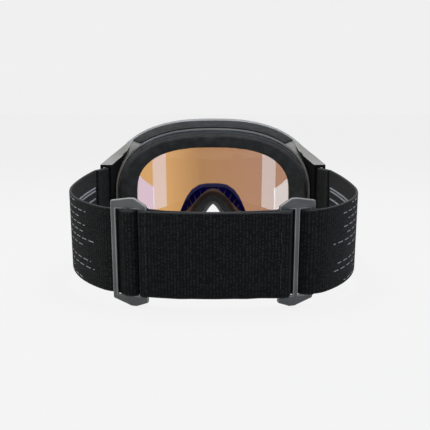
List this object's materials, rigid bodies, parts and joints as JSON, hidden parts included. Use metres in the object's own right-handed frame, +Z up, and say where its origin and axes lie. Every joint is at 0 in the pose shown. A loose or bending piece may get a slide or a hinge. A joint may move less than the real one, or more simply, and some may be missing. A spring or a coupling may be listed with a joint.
{
  "type": "ski goggles",
  "caption": "Ski goggles with a moulded frame, curved double lens, layered face foam, hinged outriggers and an elastic strap with sliders.",
  "frame": {"origin": "centre of the bounding box in plan, on the floor that the frame and sliders stand on", "axes": "+Z up, -Y the way the lens looks, +Y towards the back of the strap, +X the wearer's left"},
  "size_m": [0.184, 0.208, 0.1042],
  "materials": {
    "moulded_frame": "matte mid-grey moulded TPU with a fine spark texture",
    "soft_frame": "softer grey moulded TPU",
    "lens_tint": "amber-rose tinted polycarbonate with a faint mirror coat",
    "gasket_navy": "navy closed-cell gasket",
    "base_foam": "charcoal open-cell foam",
    "mid_foam": "charcoal foam, finer cells",
    "fleece": "dark grey brushed fleece",
    "vent_foam": "black reticulated vent foam",
    "outrigger_plastic": "light grey matte moulded plastic",
    "pin_steel": "drawn steel rod",
    "webbing": "black woven elastic",
    "silicone": "silver-grey silicone grip print",
    "slider_plastic": "mid-grey moulded nylon"
  },
  "bodies": {
    "goggle": {"front_frame": "moulded_frame", "face_frame": "soft_frame", "outer_lens": "lens_tint", "inner_lens": "lens_tint", "lens_gasket": "gasket_navy", "base_foam_ring": "base_foam", "mid_foam_ring": "mid_foam", "fleece_ring": "fleece", "top_vent_foam": "vent_foam", "bottom_vent_foam": "vent_foam", "left_mount": "outrigger_plastic", "right_mount": "outrigger_plastic", "left_hinge_pin": "pin_steel", "right_hinge_pin": "pin_steel", "left_side_strap": "webbing", "right_side_strap": "webbing", "left_grip_lines": "silicone", "right_grip_lines": "silicone", "rear_strap_inner": "webbing", "rear_strap_outer": "webbing"},
    "left_arm": {"left_outrigger": "outrigger_plastic", "left_strap_bar": "pin_steel", "left_strap_loop": "webbing"},
    "right_arm": {"right_outrigger": "outrigger_plastic", "right_strap_bar": "pin_steel", "right_strap_loop": "webbing"},
    "left_buckle": {"left_slider": "slider_plastic", "left_slider_weave": "webbing", "left_end_loop": "webbing"},
    "right_buckle": {"right_slider": "slider_plastic", "right_slider_weave": "webbing", "right_end_loop": "webbing"}
  },
  "joints": [
    {"name": "left_outrigger_hinge", "type": "hinge", "parent": "goggle", "child": "left_arm", "pos_m": [0.08, -0.05097, 0.043], "axis": [0, 0, -1], "range_deg": [-2, 12], "deforming": ["left_side_strap", "left_grip_lines"]},
    {"name": "right_outrigger_hinge", "type": "hinge", "parent": "goggle", "child": "right_arm", "pos_m": [-0.08, -0.05097, 0.043], "axis": [0, 0, 1], "range_deg": [-2, 12], "deforming": ["right_side_strap", "right_grip_lines"]},
    {"name": "left_slider_travel", "type": "slide", "parent": "goggle", "child": "left_buckle", "axis": [-0.9703, 0.2419, 0], "range_m": [0, 0.018], "deforming": ["left_side_strap", "left_grip_lines", "rear_strap_inner", "rear_strap_outer"]},
    {"name": "right_slider_travel", "type": "slide", "parent": "goggle", "child": "right_buckle", "axis": [0.9703, 0.2419, 0], "range_m": [0, 0.018], "deforming": ["right_side_strap", "right_grip_lines", "rear_strap_inner", "rear_strap_outer"]}
  ],
  "couplings": [
    {"joint": "right_slider_travel", "follows": "left_slider_travel", "ratio": 1}
  ]
}
